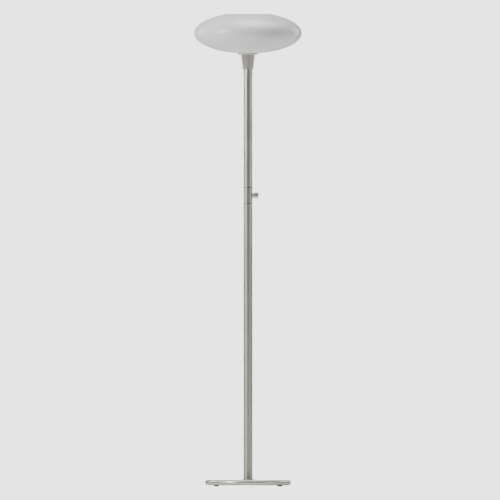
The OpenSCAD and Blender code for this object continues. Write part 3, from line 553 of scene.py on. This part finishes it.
def base_shell(finish):
    """Spun cover: a flat top, a full-round edge rolled in below, and the cord bushing's hole."""
    low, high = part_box("base_cover")
    sheet, steps = 1.5 * MM, 32
    outer, edge = high.x, (high.z - low.z) / 2
    middle, flat = low.z + edge, outer - edge
    plate_gap = 0.4 * MM
    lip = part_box("bottom_plate")[1].x + plate_gap
    bushing_hole, edge_depth = 6.45 * MM, 20 * MM

    def edge_arc(radius, start, end):
        return [Vector((flat + radius * math.cos(t), middle + radius * math.sin(t)))
                for t in (math.radians(start + (end - start) * k / steps) for k in range(steps + 1))]

    outline = [Vector((lip, low.z)), *edge_arc(edge, -90, 90), Vector((NIPPLE_HOLE, high.z)),
               Vector((NIPPLE_HOLE, high.z - sheet)), *edge_arc(edge - sheet, 90, -90),
               Vector((lip, low.z + sheet))]
    piece = make_piece("base_shell", [lathe(outline, FINE)], finish, "lamp", "base_cover")
    bushing_low, bushing_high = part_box("cord_bushing")
    centre = (0, outer, (bushing_low.z + bushing_high.z) / 2)
    drill(piece, "Y", centre, bushing_hole, edge_depth)


def bushing(finish):
    """Moulded bushing: a barb inside the cover, a shank, and a flange that follows the round edge."""
    low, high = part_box("cord_bushing")
    cover_low, cover_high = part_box("base_cover")
    edge = (cover_high.z - cover_low.z) / 2
    flat = cover_high.x - edge
    flange, barb, shank, bore = (high.z - low.z) / 2, 7.2 * MM, 6.4 * MM, 4 * MM
    barb_end = low.y + 1.6 * MM
    centre = (0, 0, (cover_high.z + cover_low.z) / 2)
    back = flat + 5 * MM
    corners = [(bore, low.y, 0.3 * MM), (barb, low.y, 0.3 * MM), (barb, barb_end, 0),
               (shank, barb_end, 0), (shank, back, 0), (flange, back, 0), (flange, high.y, 1.1 * MM),
               (bore, high.y, 0.8 * MM)]
    verts, faces = lathe(rounded(corners, 6), SMALL, "Y", centre)

    def seated(x, y, z):
        """Moves the flange's back onto the round edge."""
        if abs(y - back) > 1e-9:
            return x, y, z
        reach = flat + math.sqrt(edge ** 2 - (z - centre[2]) ** 2)
        return x, math.sqrt(reach ** 2 - x ** 2), z

    shape = [seated(*v) for v in verts], faces
    weigh_normals(make_piece("inlet_bushing", [shape], finish, "lamp", "cord_bushing"))


def rubber_feet(finish):
    """Four moulded feet with a counterbore and a soft lower edge."""
    low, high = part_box("foot_pads")
    foot_r = 9.5 * MM
    angle = math.atan2(high.y - foot_r, high.x - foot_r)
    reach = math.hypot(high.x - foot_r, high.y - foot_r)
    bore, seat, inner = 4.5 * MM, 2.6 * MM, 2.3 * MM
    edge_h, edge_w = 1.0 * MM, 0.9 * MM
    corners = [(inner, high.z, 0), (foot_r, high.z, 0), (foot_r, edge_h, 0.4 * MM),
               (foot_r - edge_w, low.z, 0.3 * MM), (bore, low.z, 0.3 * MM), (bore, seat, 0),
               (inner, seat, 0)]
    outline = rounded(corners)
    turns = (angle, math.pi - angle, math.pi + angle, -angle)
    shapes = [lathe(outline, SMALL, centre=(reach * math.cos(t), reach * math.sin(t), 0))
              for t in turns]
    weigh_normals(make_piece("rubber_feet", shapes, finish, "lamp", "foot_pads"))


def column(finish):
    """The two tubes and the dimmer's housing between them, with softened ends."""
    wall, edge = 1.2 * MM, 0.8 * MM
    for name, node in (("column_lower", "lower_tube"), ("column_housing", "switch_housing"),
                       ("column_upper", "upper_tube")):
        low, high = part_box(node)
        corners = [(high.x - wall, low.z, 0), (high.x, low.z, edge), (high.x, high.z, edge),
                   (high.x - wall, high.z, 0)]
        turned_ring(name, node, corners, finish, MEDIUM)


def collar_neck_and_seat(finish):
    """The collar on the base, the tapered neck and the saucer that carries the glass."""
    low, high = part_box("pole_collar")
    turned_ring("column_collar", "pole_collar", [
        (NIPPLE_HOLE, low.z, 0), (high.x, low.z, 0), (high.x, high.z, 1.5 * MM),
        (NIPPLE_HOLE, high.z, 0)], finish, MEDIUM)

    low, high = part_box("neck")
    bottom, top, wall, floor = 19 * MM, high.x, 1.6 * MM, 3 * MM
    slope = (top - bottom) / (high.z - low.z)
    turned_ring("tapered_neck", "neck", [
        (NIPPLE_HOLE, low.z, 0), (bottom, low.z, 1.6 * MM), (top, high.z, 0.3 * MM),
        (top - wall, high.z, 0), (bottom + slope * floor - wall, low.z + floor, 0),
        (NIPPLE_HOLE, low.z + floor, 0)], finish, MEDIUM)

    low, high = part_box("shade_seat")
    hole, spigot, rim = 20.4 * MM, 23.2 * MM, high.x
    under, taper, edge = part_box("neck")[1].z, 4 * MM, 0.8 * MM
    turned_ring("seat_saucer", "shade_seat", [
        (hole, low.z, 0), (spigot, low.z, 0.3 * MM), (spigot, under, 0),
        (rim - taper, under, 1.2 * MM), (rim, high.z - edge, 0.5 * MM), (rim, high.z, 0.35 * MM),
        (hole, high.z, 0)], finish, FINE)


def clamp_ring(finish):
    """Moulded ring that clamps the glass: a flange, and a hub with twelve notches to grip."""
    low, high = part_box("shade_ring")
    bore, hub, floor = 20.05 * MM, 24 * MM, 23.1 * MM
    ledge, near = low.z + 3 * MM, 0.01 * MM
    notches, half_width = 12, math.asin(1.2 * MM / hub)
    step, side, between = 2 * math.pi / notches, 0.0006, 8
    offsets = [-half_width - side, -half_width, 0, half_width, half_width + side]
    offsets += [half_width + side + (step - 2 * (half_width + side)) * k / between
                for k in range(1, between)]
    angles = [step * n + offset for n in range(notches) for offset in offsets]

    def notched(r, h, a):
        inside = abs((a + step / 2) % step - step / 2) < half_width + side / 2
        return min(r, floor) if inside and h > ledge - near and r < hub + near else r

    corners = [(bore, low.z, 0.3 * MM), (high.x, low.z, 0.3 * MM), (high.x, ledge, 0.4 * MM),
               (hub, ledge, 0), (hub, high.z, 0.5 * MM), (bore, high.z, 0.3 * MM)]
    shape = sweep(rounded(corners), angles, notched)
    weigh_normals(make_piece("clamp_ring", [shape], finish, "lamp", "shade_ring"))


def shade(finish):
    """Blown shade: two ellipses, a ground foot with a hole, and a rounded rim round the mouth."""
    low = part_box("glass_shade")[0]
    a, height, wall, soft = 190.5 * MM, 139.7 * MM, 3.5 * MM, 0.4 * MM
    mouth, foot, ring, hole = 72 * MM, 36 * MM, 29 * MM, 21.5 * MM
    rim = mouth + wall / 2
    foot_share = math.sqrt(1 - (foot / a) ** 2)
    rim_share = math.sqrt(1 - (rim / a) ** 2)
    b = height / (foot_share + rim_share)
    middle = low.z + b * foot_share
    inner_a, inner_b = a - wall, b - wall
    floor = middle - inner_b * math.sqrt(1 - (ring / inner_a) ** 2)
    top = middle + b * rim_share
    under = middle + inner_b * math.sqrt(1 - (rim / inner_a) ** 2)
    bead = (top - under) / 2
    steps, rim_steps = 110, 16
    outside = ellipse_arc(a, b, middle, -math.acos(foot / a), math.acos(rim / a), steps)
    inside = ellipse_arc(inner_a, inner_b, middle,
                         math.acos(rim / inner_a), -math.acos(ring / inner_a), steps)
    round_rim = [Vector((rim + bead * math.cos(t), (top + under) / 2 + bead * math.sin(t)))
                 for t in (math.radians(90 + 180 * k / rim_steps) for k in range(1, rim_steps))]
    outline = [Vector((hole + soft, low.z)), *outside, *round_rim, *inside,
               Vector((hole + soft, floor)), Vector((hole, floor - soft)), Vector((hole, low.z + soft))]
    make_piece("opal_shade", [lathe(outline, FINE)], finish, "lamp", "glass_shade", sharp=40)


def bulb(finish):
    """Pear-shaped bulb: a straight neck, a drawn-in shoulder and a round crown, blown to a thin wall."""
    low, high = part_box("bulb_envelope")
    crown, neck, wall = high.x, 11.4 * MM, 0.8 * MM
    joint = math.radians(18)                    # where the shoulder meets the round crown
    shoulder_pull, neck_pull = 24 * MM, 20 * MM
    shoulder_steps, crown_steps = 28, 36
    middle = high.z - crown
    cap_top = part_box("bulb_cap")[1].z

    def half_outline(inset):
        r = crown - inset
        shoulder = Vector((r * math.cos(joint), middle - r * math.sin(joint)))
        tangent = Vector((math.sin(joint), math.cos(joint))) * shoulder_pull
        control = [Vector((neck - inset, cap_top)), Vector((neck - inset, cap_top + neck_pull)),
                   shoulder - tangent, shoulder]
        points = [Vector((neck - inset, low.z))]
        for k in range(shoulder_steps):
            t = k / shoulder_steps
            weights = ((1 - t) ** 3, 3 * t * (1 - t) ** 2, 3 * t * t * (1 - t), t ** 3)
            points.append(sum((w * p for w, p in zip(weights, control)), Vector((0, 0))))
        for k in range(crown_steps + 1):
            t = -joint + (math.pi / 2 + joint) * k / crown_steps
            points.append(Vector((max(r * math.cos(t), 0), middle + r * math.sin(t))))
        return points

    outline = half_outline(0) + half_outline(wall)[::-1]
    make_piece("bulb_glass", [lathe(outline, SMALL)], finish, "lamp", "bulb_envelope")


def saddle_washer(finish):
    """Round washer whose back follows the column."""
    low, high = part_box("dimmer_saddle_washer")
    outer, bore = (high.y - low.y) / 2, 4.8 * MM
    centre = (0, 0, (high.z + low.z) / 2)
    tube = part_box("switch_housing")[1].x
    back = low.x - 1 * MM                       # where the back is drawn before it is fitted
    corners = [(bore, back, 0), (outer, back, 0), (outer, high.x, 0.5 * MM),
               (bore, high.x, 0.2 * MM)]
    verts, faces = lathe(rounded(corners), SMALL, "X", centre)
    fitted = [(math.sqrt(tube ** 2 - y ** 2) if x < low.x else x, y, z) for x, y, z in verts]
    weigh_normals(make_piece("knob_washer", [(fitted, faces)], finish, "lamp",
                             "dimmer_saddle_washer"))


def knob(finish):
    """Turned knob with softened edges, a recess over the nut, and its set screw's hole."""
    low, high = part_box("dimmer_knob")
    radius = (high.y - low.y) / 2
    centre = (0, 0, (high.z + low.z) / 2)
    recess, depth, bore = 8.8 * MM, 3.2 * MM, 3.05 * MM
    bore_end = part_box("dimmer_shaft")[1].x + 0.3 * MM
    corners = [(recess, low.x, 0.25 * MM), (radius, low.x, 0.35 * MM), (radius, high.x, 0.9 * MM),
               (0, high.x, 0), (0, bore_end, 0), (bore, bore_end, 0), (bore, low.x + depth, 0),
               (recess, low.x + depth, 0)]
    shape = lathe(rounded(corners, 6), SMALL, "X", centre)
    piece = make_piece("knob", [shape], finish, "knob", "dimmer_knob")
    screw_low, screw_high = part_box("knob_set_screw")
    hole_r, past_bore = 1.65 * MM, 0.6 * MM
    drill(piece, "Z", ((screw_low.x + screw_high.x) / 2, 0, centre[2] - radius), hole_r,
          2 * (radius - bore + past_bore))
    weigh_normals(piece)


def soften(node, width):
    """Bevels a CAD node's sharp edges a little."""
    modifier = nodes[node].modifiers.new("soften", "BEVEL")
    modifier.width = width
    modifier.segments = 2
    modifier.limit_method = "ANGLE"
    modifier.angle_limit = math.radians(50)
    modifier.harden_normals = True


# ---- Putting it together ----

def finish_cad_nodes(spun, knob_nickel):
    """Gives every CAD node the finish of its record slot."""
    finishes = {
        "satin_nickel": spun,
        "opal_glass": opal_glass(),
        "cast_iron": cast_iron(),
        "black_steel": powder_coat(),
        "zinc_steel": zinc_plate(),
        "brass": turned_brass(),
        "black_rubber": rubber(),
        "black_nylon": moulded("black_nylon", (0.028, 0.028, 0.030), (0.05, 0.05, 0.052), 0.5, 0.03),
        "white_nylon": moulded("white_nylon", (0.80, 0.79, 0.75), (0.74, 0.73, 0.68), 0.5, 0.03),
        "black_phenolic": moulded("black_phenolic", (0.022, 0.020, 0.019), (0.04, 0.034, 0.03), 0.3),
        "porcelain": porcelain(),
        "grey_silicone": silicone(),
        "aluminium": stamped_metal("aluminium", (0.76, 0.77, 0.78), (0.68, 0.69, 0.70), 0.33),
        "brown_laminate": moulded("brown_laminate", (0.30, 0.16, 0.07), (0.20, 0.10, 0.045),
                                  0.45, 0.03),
        "enamelled_copper": stamped_metal("enamelled_copper", (0.60, 0.28, 0.12),
                                          (0.45, 0.18, 0.07), 0.25),
        "frosted_glass": frosted_bulb(),
        "clear_glass": clear_glass(),
        "black_glass": moulded("black_glass", (0.02, 0.02, 0.024), (0.035, 0.035, 0.04), 0.15, 0.004),
        "solder": stamped_metal("solder", (0.58, 0.58, 0.57), (0.46, 0.46, 0.46), 0.45),
        "tungsten": stamped_metal("tungsten", (0.28, 0.28, 0.29), (0.20, 0.20, 0.21), 0.45),
        "black_pvc": moulded("black_pvc", (0.025, 0.025, 0.025), (0.04, 0.04, 0.04), 0.45, 0.01),
        "white_pvc": moulded("white_pvc", (0.80, 0.80, 0.78), (0.72, 0.72, 0.70), 0.45, 0.01),
        "red_pvc": moulded("red_pvc", (0.48, 0.03, 0.025), (0.38, 0.02, 0.02), 0.45, 0.01),
    }
    for node, obj in nodes.items():
        finish = finishes[slot_of[node]]
        if node == "dimmer_knob":
            finish = knob_nickel
        for slot in obj.material_slots:
            slot.material = finish
    return finishes


def main():
    add_camera()
    add_world(backdrop=(3.1, 3.13, 3.16), walls=0.045, ceiling=0.45)
    add_studio()

    knob_low, knob_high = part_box("dimmer_knob")
    knob_axis = (0, 0, (knob_low.z + knob_high.z) / 2)
    spun = satin_nickel("satin_nickel_spun")
    joints = [corner.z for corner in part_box("switch_housing")]
    # the drawn nickel gets painted shade in the grooves at the housing's two joints
    drawn = satin_nickel("satin_nickel_drawn", along=True, grooves=joints)
    knob_nickel = satin_nickel("satin_nickel_knob", "X", knob_axis)
    finishes = finish_cad_nodes(spun, knob_nickel)

    base_shell(spun)
    bushing(finishes["black_nylon"])
    rubber_feet(finishes["black_rubber"])
    column(drawn)
    collar_neck_and_seat(spun)
    shade(finishes["opal_glass"])
    clamp_ring(finishes[slot_of["shade_ring"]])
    bulb(finishes["frosted_glass"])
    saddle_washer(knob_nickel)
    knob(knob_nickel)
    for node, width in (("lampholder_skirt", 0.3 * MM), ("bottom_plate", 0.3 * MM),
                        ("foot_screws", 0.15 * MM)):
        soften(node, width)
    add_floor()


main()
